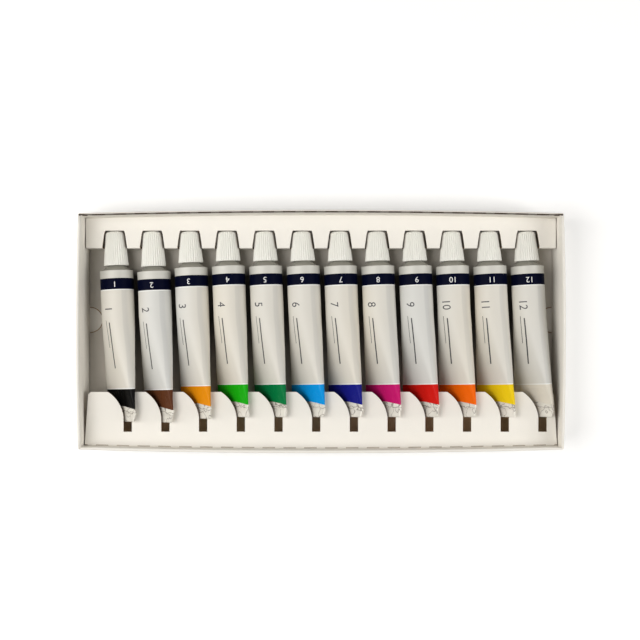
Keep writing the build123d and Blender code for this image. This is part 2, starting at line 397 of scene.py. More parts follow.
def noise(tree, vector, grain, factors=None):
    """Noise value over a position, which may be squeezed along its axes to run one way."""
    node = tree.nodes.new("ShaderNodeTexNoise")
    for label, value in zip(("Scale", "Detail", "Roughness"), grain):
        node.inputs[label].default_value = value
    if factors:
        vector = vector_node(tree, "MULTIPLY", vector, factors)
    put(tree, vector, node.inputs["Vector"])
    return node.outputs["Fac"]


def axes_of(tree, vector):
    """X, Y and Z of a position or a map."""
    node = tree.nodes.new("ShaderNodeSeparateXYZ")
    put(tree, vector, node.inputs[0])
    return node.outputs["X"], node.outputs["Y"], node.outputs["Z"]


def map_axes(tree, name):
    """Both directions of a flat map of the mesh."""
    node = tree.nodes.new("ShaderNodeUVMap")
    node.uv_map = name
    return axes_of(tree, node.outputs[0])[:2]


def paper_group():
    """Pressed card: soft mottling, short fibres and a fine tooth."""
    group, given, made, place = new_group("pressed_card", {"Mottle": 0.04, "Tooth": 1.0}, "Shade", "Height")
    clouds = noise(group, place, CARD_CLOUDS)
    fibres = noise(group, place, CARD_FIBRES, (1.0, 3.0, 2.0))
    tooth = noise(group, place, CARD_TOOTH)
    spread = times_plus(group, fibres, FIBRE_SHARE, clouds)
    centred = math_node(group, "SUBTRACT", spread, 0.5 + FIBRE_SHARE / 2)
    put(group, times_plus(group, centred, given["Mottle"], 1.0), made["Shade"])
    put(group, times_plus(group, tooth, given["Tooth"], fibres), made["Height"])
    return group


def printed_metal_group():
    """Lacquered print on soft aluminium: rolling lines along the tube, faint dents and rubbed spots."""
    group, given, made, place = new_group(
        "lacquered_print", {"Gloss": 0.3, "Rub": 0.05}, "Shade", "Roughness", "Height"
    )
    lines = noise(group, place, ROLLED_LINES, (1.0, 0.04, 1.0))
    patches = noise(group, place, RUBBED_PATCHES, (1.0, 0.35, 1.0))
    dents = noise(group, place, METAL_DENTS)
    rub = math_node(group, "SUBTRACT", patches, 0.5)
    put(group, times_plus(group, rub, given["Rub"], 1.0), made["Shade"])
    uneven = times_plus(group, rub, RUB_TO_GLOSS, given["Gloss"])
    put(group, times_plus(group, lines, LINES_TO_GLOSS, uneven), made["Roughness"])
    put(group, times_plus(group, lines, LINES_TO_HEIGHT, dents), made["Height"])
    return group


def moulded_group():
    """Moulded plastic: faint flow clouds and a fine spark-eroded skin."""
    group, given, made, place = new_group("moulded_skin", {"Cloud": 0.03}, "Shade", "Height")
    flow = noise(group, place, PLASTIC_FLOW, (1.0, 0.4, 1.0))
    centred = math_node(group, "SUBTRACT", flow, 0.5)
    put(group, times_plus(group, centred, given["Cloud"], 1.0), made["Shade"])
    put(group, noise(group, place, PLASTIC_SKIN), made["Height"])
    return group


def foil_group():
    """Crumpled foil: thin fold lines, and soft facets between them."""
    group, given, made, place = new_group("crumpled_foil", {"Width": 0.02}, "Folds", "Height")
    away = apart(group, noise(group, place, FOIL_FOLDS), 0.5)
    near = math_node(group, "DIVIDE", away, given["Width"])
    folds = math_node(group, "SUBTRACT", 1.0, near, clamp=True)
    put(group, folds, made["Folds"])
    facets = noise(group, place, FOIL_FACETS)
    put(group, times_plus(group, folds, -FOLD_DEPTH, facets), made["Height"])
    return group


# Materials


def new_material(name, roughness=0.5, metallic=0.0, coat=0.0, specular=0.5, coat_roughness=0.12):
    """Material with a Principled BSDF; returns it, its node tree and the shader."""
    material = bpy.data.materials.new(name)
    material.use_nodes = True
    shader = material.node_tree.nodes["Principled BSDF"]
    shader.inputs["Roughness"].default_value = roughness
    shader.inputs["Metallic"].default_value = metallic
    shader.inputs["Coat Weight"].default_value = coat
    shader.inputs["Coat Roughness"].default_value = coat_roughness
    shader.inputs["Specular IOR Level"].default_value = specular
    return material, material.node_tree, shader


def place_group(tree, group, **values):
    """Puts a shader group in a material, with the material's own values; returns its outputs."""
    node = tree.nodes.new("ShaderNodeGroup")
    node.node_tree = group
    for label, value in values.items():
        node.inputs[label].default_value = value
    return node.outputs


def mix_colours(tree, mask, first, second):
    """First colour where the mask is 0, second where it is 1; each is a socket or a colour."""
    node = tree.nodes.new("ShaderNodeMix")
    node.data_type = "RGBA"
    put(tree, mask, node.inputs["Factor"])
    colour_inputs = [s for s in node.inputs if s.type == "RGBA"]
    for socket, value in zip(colour_inputs, (first, second)):
        put(tree, value, socket)
    return [s for s in node.outputs if s.type == "RGBA"][0]


def cover(tree, shader, colour, height, strength, distance=GRAIN_HEIGHT):
    """Gives a shader its colour, and the fine relief that stands on it."""
    put(tree, colour, shader.inputs["Base Color"])
    node = tree.nodes.new("ShaderNodeBump")
    node.inputs["Strength"].default_value = strength
    node.inputs["Distance"].default_value = distance * MM
    put(tree, height, node.inputs["Height"])
    put(tree, node.outputs[0], shader.inputs["Normal"])


def card_material(name, group, colour, mottle, cuts=None, cut_colour=None):
    """Matte card. A function may work out its colour over the surface, and another mark cuts in it."""
    material, tree, shader = new_material(name, roughness=0.78, specular=0.25)
    card = place_group(tree, group, Mottle=mottle)
    if callable(colour):
        colour = colour(tree)
    shown = vector_node(tree, "SCALE", colour, card["Shade"])
    height = card["Height"]
    if cuts:
        mask = cuts(tree)
        shown = mix_colours(tree, mask, shown, cut_colour)
        height = times_plus(tree, mask, -CUT_DEPTH, height)
    cover(tree, shader, shown, height, CARD_RELIEF)
    return material


def skip_cuts(tree, fold, width, between):
    """1 in a row of short cuts along a fold of the flat map, and a lower value between them."""
    length, walked = map_axes(tree, "flat")
    along = math_node(tree, "DIVIDE", length, SKIP_CUT_PITCH / MAP_SCALE)
    dash = math_node(tree, "LESS_THAN", math_node(tree, "FRACT", along), SKIP_CUT_SHARE)
    away = apart(tree, walked, fold / MAP_SCALE)
    row = math_node(tree, "LESS_THAN", away, width / (2 * MAP_SCALE))
    return math_node(tree, "MULTIPLY", row, times_plus(tree, dash, 1.0 - between, between))


def nick_mark(tree):
    """1 in the open nicks under the rim, at the two inner corners of the cap side, which are painted dark
    as shade.
    """
    x, y, z = axes_of(tree, object_position(tree))
    corner_x = TRAY_LENGTH / 2 - TRAY_WALL - NICK_MARK_IN
    corner_y = TRAY_WIDTH / 2 - TRAY_WALL
    along = math_node(tree, "SUBTRACT", math_node(tree, "ABSOLUTE", x), corner_x * MM)
    across = math_node(tree, "SUBTRACT", y, corner_y * MM)
    along = math_node(tree, "DIVIDE", along, NICK_MARK[0] * MM)
    across = math_node(tree, "DIVIDE", across, NICK_MARK[1] * MM)
    squares = times_plus(tree, along, along, math_node(tree, "MULTIPLY", across, across))
    near = math_node(tree, "LESS_THAN", squares, 1.0)
    high = math_node(tree, "GREATER_THAN", z, NICK_MARK_FROM * MM)
    return math_node(tree, "MULTIPLY", near, high)


def rim_cuts_and_painted_shade(tree):
    """Skip cuts along the rim of the tray's cap side, with painted shade along the line between them where
    the cap rail meets the wall, and painted shade in the open nicks at its ends.
    """
    row = skip_cuts(tree, RIM_CREASE, SKIP_CUT_WIDTH, SKIP_CUT_SHADE)
    return math_node(tree, "MAXIMUM", row, nick_mark(tree))


def bed_colour_with_painted_shade(tree):
    """Card of the insert's bed with painted shade: darker than the white card all over, darker still under
    the row of tubes, and that extra shade fades towards the tails.
    """
    x, y, _ = axes_of(tree, object_position(tree))
    under_row = soft_step(
        tree, math_node(tree, "ABSOLUTE", x), SHADED_HALF_X * MM, -SHADE_SOFTNESS * MM
    )
    under_caps = soft_step(tree, y, SHADED_TO_Y * MM, -SHADE_SOFTNESS * MM)
    within = math_node(tree, "MULTIPLY", under_row, under_caps)
    fade = times_plus(tree, y, 1 / (SHADE_FADE * MM), SHADE_AT_MIDDLE, clamp=True)
    return mix_colours(tree, math_node(tree, "MULTIPLY", within, fade), CARD_BED_PAINTED_SHADE, BED_SHADE)


def inside_colour(tree):
    """Brown card under the tail rail, darker than the white card as painted shade for what is seen through
    the slots, and painted black shade in the gaps beside the rail's ends.
    """
    x, _, _ = axes_of(tree, object_position(tree))
    away = math_node(tree, "ABSOLUTE", x)
    # Painted black shade in the gaps beside the tail rail's ends
    at_end = soft_step(tree, away, END_SHADE_FROM * MM, END_SHADE_SOFTNESS * MM)
    return mix_colours(tree, at_end, CARD_UNDER_RAIL_PAINTED_SHADE, CUT_AND_PAINTED_SHADE_DARK)


def lacquered(name, group, gloss, rub, **values):
    """Start of a material with the grain of lacquered print; its roughness changes over it."""
    material, tree, shader = new_material(name, **values)
    grain = place_group(tree, group, Gloss=gloss, Rub=rub)
    put(tree, grain["Roughness"], shader.inputs["Roughness"])
    return material, tree, shader, grain


def print_material(name, group, colour, gloss, rub, specular=0.3, **values):
    """Lacquered print on aluminium, or the bare metal, in one colour."""
    material, tree, shader, grain = lacquered(name, group, gloss, rub, specular=specular, **values)
    shown = vector_node(tree, "SCALE", colour, grain["Shade"])
    cover(tree, shader, shown, grain["Height"], PRINT_RELIEF)
    return material


def label_material(name, group):
    """Pale print whose tone drifts from tube to tube, with a greyer strip of painted shade down the tube's
    right flank.
    """
    material, tree, shader, grain = lacquered(
        name, group, gloss=0.5, rub=0.05, coat=0.05, specular=0.3
    )
    place = object_position(tree)
    drift = math_node(tree, "SUBTRACT", noise(tree, place, LABEL_DRIFT, (1.0, 0.0, 0.0)), 0.5)
    cool = times_plus(tree, drift, LABEL_CONTRAST, 0.5, clamp=True)
    pale = mix_colours(tree, cool, LABEL_WARM, LABEL_COOL)
    waver = noise(tree, place, LABEL_SHADE_EDGE, (0.3, 1.0, 0.0))
    around = times_plus(tree, waver, LABEL_SHADE_WAVER / MAP_SCALE, map_axes(tree, "wrap")[0])
    middle = WRAP_MIDDLE + LABEL_SHADE_WAVER / 2
    start = (middle + LABEL_SHADE_START) / MAP_SCALE
    end = (middle + LABEL_SHADE_END) / MAP_SCALE
    past_start = soft_step(tree, around, start, LABEL_SHADE_SOFT_START / MAP_SCALE)
    before_end = soft_step(tree, around, end, -LABEL_SHADE_SOFT_END / MAP_SCALE)
    # Painted shade: the greyer strip down the label's right flank
    seam = math_node(tree, "MULTIPLY", past_start, before_end)
    toned = mix_colours(tree, seam, pale, vector_node(tree, "MULTIPLY", pale, LABEL_SHADE_TONE))
    shown = vector_node(tree, "SCALE", toned, grain["Shade"])
    cover(tree, shader, shown, grain["Height"], PRINT_RELIEF)
    return material


def crimp_material(name, group, foil):
    """Bare aluminium, folded over and crumpled, with one crease across it; its folds and the crease are
    darkened with painted shade.
    """
    material, tree, shader, grain = lacquered(
        name, group, gloss=0.52, rub=0.15, metallic=0.2, specular=0.3
    )
    crumple = place_group(tree, foil, Width=0.022)
    silver = vector_node(tree, "SCALE", BARE_METAL, grain["Shade"])
    waver = noise(tree, object_position(tree), CREASE_EDGE)
    down = times_plus(tree, waver, CREASE_WAVER / MAP_SCALE, map_axes(tree, "wrap")[1])
    away = apart(tree, down, (CRIMP_START + CRIMP_CREASE + CREASE_WAVER / 2) / MAP_SCALE)
    near = math_node(tree, "DIVIDE", away, CREASE_WIDTH / MAP_SCALE)
    crease = math_node(tree, "SUBTRACT", 1.0, near, clamp=True)
    folds = math_node(tree, "MAXIMUM", crumple["Folds"], crease)
    # Painted shade darkens the folds and the crease
    fold_shade = math_node(tree, "MULTIPLY", folds, FOLD_SHADE_STRENGTH)
    shown = mix_colours(tree, fold_shade, silver, FOLD_PAINTED_SHADE)
    cover(tree, shader, shown, crumple["Height"], strength=0.6, distance=FOLD_HEIGHT)
    return material


def enamel_material(name, group, foil, colour):
    """Glossy colour band, with the soft folds that run up from the crimp."""
    material, tree, shader, grain = lacquered(
        name, group, gloss=0.30, rub=0.06, coat=0.07, specular=0.03, coat_roughness=0.08
    )
    crumple = place_group(tree, foil, Width=0.03)
    shown = vector_node(tree, "SCALE", colour, grain["Shade"])
    cover(tree, shader, shown, crumple["Height"], strength=0.35, distance=FOLD_HEIGHT)
    return material


def plastic_material(name, group, colour, roughness, coat=0.0):
    """Moulded plastic, or the paint inside a tube."""
    material, tree, shader = new_material(name, roughness=roughness, coat=coat)
    skin = place_group(tree, group, Cloud=0.05)
    shown = vector_node(tree, "SCALE", colour, skin["Shade"])
    cover(tree, shader, shown, skin["Height"], strength=0.12, distance=SKIN_HEIGHT)
    return material


# Mesh helpers


def add_object(name, data):
    """Object in the scene, from a mesh, a curve, a lamp or a camera."""
    made = bpy.data.objects.new(name, data)
    bpy.context.scene.collection.objects.link(made)
    return made


def make_piece(name, points, faces, materials, zones=None, sharp=35):
    """Mesh object from points in millimetres, smooth except across edges sharper than an angle."""
    mesh = bpy.data.meshes.new(name)
    mesh.from_pydata([Vector(p) * MM for p in points], [], faces)
    for material in materials:
        mesh.materials.append(material)
    if zones:
        mesh.polygons.foreach_set("material_index", zones)
    mesh.validate()
    mesh.shade_smooth()
    mesh.set_sharp_from_angle(angle=radians(sharp))
    return add_object(name, mesh)


def divided(start, end, steps):
    """Places from a start to an end in equal steps, without the start."""
    return [start + (end - start) * step / steps for step in range(1, steps + 1)]


def skin_rings(rings):
    """Points and faces of a skin over closed rings of equally many points, closed at both ends."""
    count = len(rings[0])
    points = [point for ring in rings for point in ring]
    faces = []
    for low in range(0, (len(rings) - 1) * count, count):
        high = low + count
        for i in range(count):
            j = (i + 1) % count
            faces.append((low + i, low + j, high + j, high + i))
    faces.append(tuple(reversed(range(count))))
    faces.append(tuple(range(len(points) - count, len(points))))
    return points, faces


# The tray


def tray_loop(height, inset):
    """Closed outline of the tray's wall at a height and an inset from the outside, bowed outward."""
    grow = min(1.0, height / FULL_BOW_HEIGHT)
    half_x = TRAY_LENGTH / 2 - inset
    half_y = TRAY_WIDTH / 2 - inset
    share = inset / TRAY_WALL
    radius = OUTER_CORNER_RADIUS + (INNER_CORNER_RADIUS - OUTER_CORNER_RADIUS) * share
    loop = []
    sides = (
        ((1, -1), (0, 1), (1, 0), SHORT_BOW),
        ((1, 1), (-1, 0), (0, 1), LONG_BOW),
        ((-1, 1), (0, -1), (-1, 0), SHORT_BOW),
        ((-1, -1), (1, 0), (0, -1), LONG_BOW),
    )
    for corner, along, out, bow in sides:
        centre = Vector((corner[0] * (half_x - radius), corner[1] * (half_y - radius)))
        start_angle = atan2(out[1], out[0]) - pi / 2
        for step in range(CORNER_STEPS):
            angle = start_angle + pi / 2 * step / CORNER_STEPS
            loop.append((*(centre + radius * Vector((cos(angle), sin(angle)))), height))
        length = 2 * ((half_x if along[0] else half_y) - radius)
        start = centre + radius * Vector(out)
        for step in range(SIDE_STEPS + 1):
            t = step / SIDE_STEPS
            swell = bow * grow * 4 * t * (1 - t)
            loop.append((*(start + length * t * Vector(along) + swell * Vector(out)), height))
    return loop


def nicked(point, inset):
    """Pushes an inner corner of the tray's wall outward: a seam, and a deeper nick under the rim."""
    x, y, z = point
    corner_x = TRAY_LENGTH / 2 - inset
    corner_y = TRAY_WIDTH / 2 - inset
    near = hypot(abs(x) - corner_x, abs(y) - corner_y)
    if inset < TRAY_WALL / 2 or near > NICK_REACH:
        return point
    push, drop = (NICK_PUSH, NICK_DROP) if z > NICK_HEIGHT else (SEAM_DEPTH, 0.0)
    share = 1 - near / NICK_REACH
    return (x + copysign(push * share, x), y + copysign(push * share, y), z - drop * share)


def make_tray(card):
    """Folded tray: double walls that roll over at the rim, and the floor between them."""
    rim = TRAY_WALL / 2
    shoulder = TRAY_HEIGHT - rim
    stations = [(0.0, FOOT_ROUNDING), (FOOT_ROUNDING / 3, FOOT_ROUNDING / 3), (FOOT_ROUNDING, 0.0)]
    stations += [(z, 0.0) for z in divided(FOOT_ROUNDING, shoulder, WALL_STEPS)]
    for angle in divided(0, pi, RIM_STEPS):
        stations.append((shoulder + rim * sin(angle), rim - rim * cos(angle)))
    stations.append((NICK_HEIGHT, TRAY_WALL))
    stations += [(z, TRAY_WALL) for z in divided(NICK_HEIGHT, TRAY_FLOOR, WALL_STEPS)]
    rings = [[nicked(p, inset) for p in tray_loop(height, inset)] for height, inset in stations]
    points, faces = skin_rings(rings)
    piece = make_piece("tray_walls", points, faces, [card])
    flat_map = piece.data.uv_layers.new(name="flat")
    count = len(rings[0])
    for face in piece.data.polygons:
        on_cap_side = face.center.y > (TRAY_WIDTH / 2 - TRAY_WALL - INNER_CORNER_RADIUS / 2) * MM
        for loop in face.loop_indices:
            vertex = piece.data.loops[loop].vertex_index
            row = vertex // count
            height, inset = stations[row]
            walked = 0.0
            if on_cap_side and inset > 0 and row > WALL_STEPS:
                walked = inset + (max(0.0, shoulder - height) if inset == TRAY_WALL else 0.0)
            x = piece.data.vertices[vertex].co.x / MM
            flat_map.data[loop].uv = (x / MAP_SCALE + MAP_START, walked / MAP_SCALE)
    return piece


# The insert


class FoldedStrip:
    """Centre line of the folded card, walked from the cap side's foot to the tail rail's free edge."""

    def __init__(self):
        half = CARD / 2
        self.corners = [
            Vector((RAIL_FACE_Y - half, INSERT_BOTTOM)),
            Vector((RAIL_FACE_Y - half, CAP_RAIL_TOP - half)),
            Vector((CAP_RAIL_FRONT + half, CAP_RAIL_TOP - half)),
            Vector((CAP_RAIL_FRONT + half, INSERT_BOTTOM + half)),
            Vector((half - RAIL_FACE_Y, INSERT_BOTTOM + half)),
            Vector((half - RAIL_FACE_Y, TAIL_RAIL_TOP - half)),
            Vector((TAIL_RAIL_FRONT, TAIL_RAIL_TOP - half)),
        ]
        self.samples = []
        self.panel_starts = []
        walked = 0.0
        for i, corner in enumerate(self.corners[:-1]):
            along = (self.corners[i + 1] - corner).normalized()
            length = (self.corners[i + 1] - corner).length
            trim_start = FOLD_RADIUS if i else 0.0
            trim_end = FOLD_RADIUS if i < len(self.corners) - 2 else 0.0
            self.panel_starts.append((walked, corner + along * trim_start, along))
            straight = length - trim_start - trim_end
            self.samples.append((walked, corner + along * trim_start, along, 0.0))
            walked += straight
            self.samples.append((walked, corner + along * (trim_start + straight), along, 0.0))
            if trim_end:
                self.add_fold(walked, i + 1, along)
                walked += FOLD_RADIUS * pi / 2
        self.length = walked

    def add_fold(self, walked, index, along):
        """Quarter-round fold at a corner."""
        after = (self.corners[index + 1] - self.corners[index]).normalized()
        centre = self.corners[index] - along * FOLD_RADIUS + after * FOLD_RADIUS
        outer_side = 1 if along[0] * after[1] - along[1] * after[0] > 0 else -1
        crispness = WALL_FOLD_CRISPNESS if index in (1, 5) else FRONT_FOLD_CRISPNESS
        for step in range(1, FOLD_STEPS):
            angle = pi / 2 * step / FOLD_STEPS
            point = centre + FOLD_RADIUS * (along * sin(angle) - after * cos(angle))
            direction = along * cos(angle) + after * sin(angle)
            crisp = outer_side * crispness * sin(2 * angle)
            self.samples.append((walked + FOLD_RADIUS * angle, point, direction, crisp))

    def flat(self, panel, place):
        """Distance along the strip of a place, y or z, on a panel."""
        walked, start, along = self.panel_starts[panel]
        axis = 0 if abs(along[0]) > 0.5 else 1
        return walked + (place - start[axis]) * along[axis]

    def at(self, x, v, side):
        """Point of the folded card: side +1 faces the caps and the tubes, -1 is the other face."""
        v = min(max(v, 0.0), self.length)
        for before, after in zip(self.samples, self.samples[1:]):
            if v <= after[0] + 1e-6:
                break
        span = after[0] - before[0]
        t = (v - before[0]) / span if span > 1e-9 else 0.0
        point = before[1].lerp(after[1], t)
        along = before[2].lerp(after[2], t).normalized()
        normal = Vector((along[1], -along[0]))
        crisp = before[3] + (after[3] - before[3]) * t
        y, z = point + normal * side * (CARD / 2 + max(0.0, side * crisp))
        return (x, y, z)


def arc_points(start, middle, end, steps):
    """Points on the circle through three points."""
    a, b, c = (complex(*point) for point in (start, middle, end))
    ratio = (c - a) / (b - a)
    centre = a + (b - a) * (ratio - abs(ratio) ** 2) / (2j * ratio.imag)
    sweep, middle_sweep = (phase((point - centre) / (a - centre)) for point in (c, b))
    if sweep * middle_sweep < 0:
        sweep += 2 * pi if sweep < 0 else -2 * pi
    points = (centre + (a - centre) * rect(1, sweep * i / steps) for i in range(steps + 1))
    return [(point.real, point.imag) for point in points]


def row_x(index):
    return (index - (TUBE_COUNT - 1) / 2) * TUBE_PITCH


def notch_outline(strip, x):
    """Cut-out for one cap: tapered in the rail's top, round-footed in its front."""
    end = strip.flat(1, NOTCH_END_Y)
    bevel = strip.flat(1, NOTCH_BEVEL_Y)
    fold = strip.flat(1, CAP_RAIL_FRONT + CARD / 2 + FOLD_RADIUS)
    foot = strip.flat(2, NOTCH_FOOT_Z)
    half = NOTCH_FRONT_HALF
    round_from = foot - NOTCH_FOOT_RADIUS
    side = [(half, fold), (half, round_from)]
    for angle in divided(0, pi / 2, NOTCH_STEPS):
        side.append((
            half - NOTCH_FOOT_RADIUS + NOTCH_FOOT_RADIUS * cos(angle),
            round_from + NOTCH_FOOT_RADIUS * sin(angle),
        ))
    right = [(NOTCH_END_HALF, end), (NOTCH_BEVEL_HALF, bevel)] + side
    left = [(-u, v) for u, v in reversed(right)]
    return [(x + u, v) for u, v in right + left]


def scoop_outline(strip, x):
    """Cut-out for one tail: a scoop that narrows into a slot, beside the next tongue."""
    left = x + SLOT_OFFSET - SLOT_WIDTH / 2
    right = left + SLOT_WIDTH
    start = (left - SCOOP_WIDTH, TAIL_RAIL_FRONT)
    middle = (
        left - SCOOP_WIDTH + SCOOP_MID[0] * SCOOP_WIDTH,
        TAIL_RAIL_FRONT - SCOOP_MID[1] * SCOOP_DEPTH,
    )
    end = (left, TAIL_RAIL_FRONT - SCOOP_DEPTH)
    outline = arc_points(start, middle, end, SCOOP_STEPS)
    outline += [
        (left, SLOT_END_Y),
        (right, SLOT_END_Y),
        (right, TAIL_RAIL_FRONT - TONGUE_NICK_DEPTH),
        (right + TONGUE_NICK_WIDTH, TAIL_RAIL_FRONT),
        (right + TONGUE_NICK_WIDTH, TAIL_RAIL_FRONT + PAST_EDGE),
        (left - SCOOP_WIDTH, TAIL_RAIL_FRONT + PAST_EDGE),
    ]
    return [(u, strip.flat(5, v)) for u, v in outline]


def thumb_circle(strip, end, radius):
    """Circle on the flat strip round the middle of the thumb cut-out at one end."""
    middle = strip.flat(3, THUMB_Y)
    turns = (2 * pi * i / THUMB_STEPS for i in range(THUMB_STEPS))
    return [(end * INSERT_HALF + radius * cos(t), middle + radius * sin(t)) for t in turns]


def end_cuts(strip, end):
    """Thumb cut-out in the bed, and tapered end and nicked corner of the tail rail."""
    x = end * INSERT_HALF
    front_x = x - end * TAIL_RAIL_TAPER
    past_x = x + end * PAST_EDGE
    rear = strip.flat(5, FOLD_RADIUS - RAIL_FACE_Y)
    edge = strip.flat(5, TAIL_RAIL_FRONT)
    past = edge + PAST_EDGE
    taper = [(x, rear), (past_x, rear), (past_x, past), (front_x, past), (front_x, edge)]
    sides = ((-1, 0), (0, -1), (1, 0), (0, 1))
    nick = [(front_x + END_NICK * across, edge + END_NICK * along) for across, along in sides]
    return [thumb_circle(strip, end, THUMB_RADIUS), taper, nick]


def inside(point, polygon):
    """Whether a flat point lies inside a polygon."""
    x, y = point
    found = False
    for (ax, ay), (bx, by) in zip(polygon, polygon[1:] + polygon[:1]):
        if (ay > y) != (by > y) and x < (bx - ax) * (y - ay) / (by - ay) + ax:
            found = not found
    return found


def flat_triangles(strip, cut_outs):
    """Triangles of the flat strip without its cut-outs, split along every fold."""
    points = []
    edges = []

    def add_line(line, closed):
        first = len(points)
        points.extend(Vector(p) for p in line)
        edges.extend((first + i, first + i + 1) for i in range(len(line) - 1))
        if closed:
            edges.append((first + len(line) - 1, first))

    right = [(INSERT_HALF, 0), (INSERT_HALF, strip.length)]
    add_line([(-INSERT_HALF, 0), *right, (-INSERT_HALF, strip.length)], True)
    for cut_out in cut_outs:
        add_line(cut_out, True)
    for end in (-1, 1):
        add_line(thumb_circle(strip, end, THUMB_RADIUS + THUMB_EDGE), True)
    rows = {round(sample[0], 4) for sample in strip.samples} | {strip.flat(3, INSIDE_FROM_Y)}
    reach = INSERT_HALF + PAST_EDGE
    for v in sorted(rows)[1:-1]:
        add_line([(reach * (2 * i / ROW_STEPS - 1), v) for i in range(ROW_STEPS + 1)], False)
    made, _, triangles, *_ = delaunay_2d_cdt(points, edges, [], 0, 1e-4, False)
    boxes = [
        (min(u for u, _ in c), max(u for u, _ in c), min(v for _, v in c), max(v for _, v in c), c)
        for c in cut_outs
    ]
    kept = []
    for triangle in triangles:
        middle = sum((made[i] for i in triangle), Vector((0, 0))) / 3
        u, v = middle
        if abs(u) > INSERT_HALF or not 0 < v < strip.length:
            continue
        hit = any(a < u < b and c < v < d and inside((u, v), outline) for a, b, c, d, outline in boxes)
        if not hit:
            kept.append(tuple(triangle))
    return made, kept


def bowed(point):
    """The rails' rear faces lean on the tray's walls, so they bow outward with them."""
    x, y, z = point
    reach = max(0.0, abs(y) - RAIL_FACE_Y + BOW_REACH) / BOW_REACH
    to_wall = TRAY_WIDTH / 2 - TRAY_WALL - WALL_GAP - RAIL_FACE_Y
    swell = LONG_BOW * min(1.0, z / FULL_BOW_HEIGHT) * (1 - (x / INSERT_HALF) ** 2)
    shift = (swell + to_wall) * reach
    return (x, y + copysign(shift, y), z)


def make_insert(materials, strip):
    """Folded card strip with its thickness: both faces, and the cut edges between them."""
    cut_outs = []
    for i in range(TUBE_COUNT):
        cut_outs.append(notch_outline(strip, row_x(i)))
        cut_outs.append(scoop_outline(strip, row_x(i)))
    for end in (-1, 1):
        cut_outs.extend(end_cuts(strip, end))
    flat, triangles = flat_triangles(strip, cut_outs)
    used = sorted({i for t in triangles for i in t})
    index = {old: new for new, old in enumerate(used)}
    count = len(used)
    points = [bowed(strip.at(*flat[i], side)) for side in (1, -1) for i in used]
    inside_from = strip.flat(3, INSIDE_FROM_Y)
    bed_from = strip.flat(2, INSERT_BOTTOM + CARD + FOLD_RADIUS)
    back_from = strip.flat(4, INSERT_BOTTOM + FOLD_RADIUS)
    thumb = strip.flat(3, THUMB_Y)
    thumb_edge = THUMB_RADIUS + ON_THUMB_EDGE
    faces = []
    zones = []
    edge_uses = {}
    for triangle in triangles:
        a, b, c = (index[i] for i in triangle)
        faces.append((a, c, b))
        faces.append((a + count, b + count, c + count))
        middle = sum(flat[i][1] for i in triangle) / 3
        upper = CARD_ZONE
        # The ring round each thumb cut-out takes the cut edge's brown, and is partly painted shade for the
        # hole's dark rim
        if any(hypot(abs(flat[i][0]) - INSERT_HALF, flat[i][1] - thumb) < thumb_edge for i in triangle):
            upper = EDGE_ZONE
        elif middle > inside_from:
            upper = INSIDE_ZONE
        elif middle > bed_from:
            upper = BED_ZONE
        zones += [upper, CARD_ZONE if middle > back_from else INSIDE_ZONE]
        for edge in ((a, b), (b, c), (c, a)):
            key = tuple(sorted(edge))
            edge_uses.setdefault(key, []).append(edge)
    for uses in edge_uses.values():
        if len(uses) == 1:
            a, b = uses[0]
            faces.append((a, b, b + count, a + count))
            zones.append(EDGE_ZONE)
    piece = make_piece("card_insert", points, faces, materials, zones)
    flat_map = piece.data.uv_layers.new(name="flat")
    for loop in piece.data.loops:
        u, v = flat[used[loop.vertex_index % count]]
        flat_map.data[loop.index].uv = (u / MAP_SCALE + MAP_START, v / MAP_SCALE)
    return piece


# Tubes and caps


def tube_place(index):
    """Matrix from a tube's own axes, z out of its mouth and x along its crimp, to the frame."""
    lean = tan(radians(TUBE_LEAN[index]))
    out = Vector((-lean, 1, -AXIS_RISE)).normalized()
    along = Vector((cos(CRIMP_TILT), 0, sin(CRIMP_TILT)))
    along = (along - out * along.dot(out)).normalized()
    across = out.cross(along)
    y = SHOULDER_Y - SET_BACK[index]
    x = row_x(index) + (CAP_AXIS_Y - y) * lean
    place = Matrix((along, across, out)).transposed().to_4x4()
    place.translation = (x, y, SHOULDER_AXIS_Z)
    return place


def half_thickness(distance):
    """Half thickness of the body at a distance down from the shoulder, flat at the crimp."""
    t = (distance - ROUND_LENGTH) / (CRIMP_START - ROUND_LENGTH)
    if t < -PRESS_BLEND:
        pressed = 0.0
    elif t < PRESS_BLEND:
        pressed = (t + PRESS_BLEND) ** 2 / (4 * PRESS_BLEND)
    else:
        pressed = t
    return TUBE_RADIUS - (TUBE_RADIUS - FLAT_HALF) * min(pressed, 1.0)


def on_section(half, girth):
    """Point and outward normal at a distance round a section; the girth never changes."""
    straight = pi / 2 * (TUBE_RADIUS - half)
    side = 1 if girth >= 0 else -1
    walked = abs(girth)
    arc = pi * half / 2
    if walked <= arc:
        angle = walked / half
        centre = straight
    elif walked <= arc + 2 * straight:
        return Vector((straight - (walked - arc), side * half)), Vector((0, side))
    else:
        angle = pi / 2 + (walked - arc - 2 * straight) / half
        centre = -straight
    normal = Vector((cos(angle), side * sin(angle)))
    return Vector((centre, 0)) + half * normal, normal


def wave(factors, distance, girth, seed):
    return sin(factors[0] * distance + factors[1] * girth + factors[2] * seed)


def wrinkle(seed, girth, distance):
    """Inward dents: faint ripples along the label, deeper creases towards the crimp."""
    ripple = RIPPLE_DEPTH * (0.5 + 0.5 * wave(RIPPLE_WAVE, distance, girth, seed))
    near = max(0.0, distance - WRINKLE_START) / (CRIMP_START - WRINKLE_START)
    one, other = (wave(factors, distance, girth, seed) for factors in CREASE_WAVES)
    crease = one * other
    fade = min(1.0, max(0.0, distance - COLLAR_END) / RIPPLE_FADE)
    return -(ripple * fade + WRINKLE_DEPTH * near * max(0.0, crease))


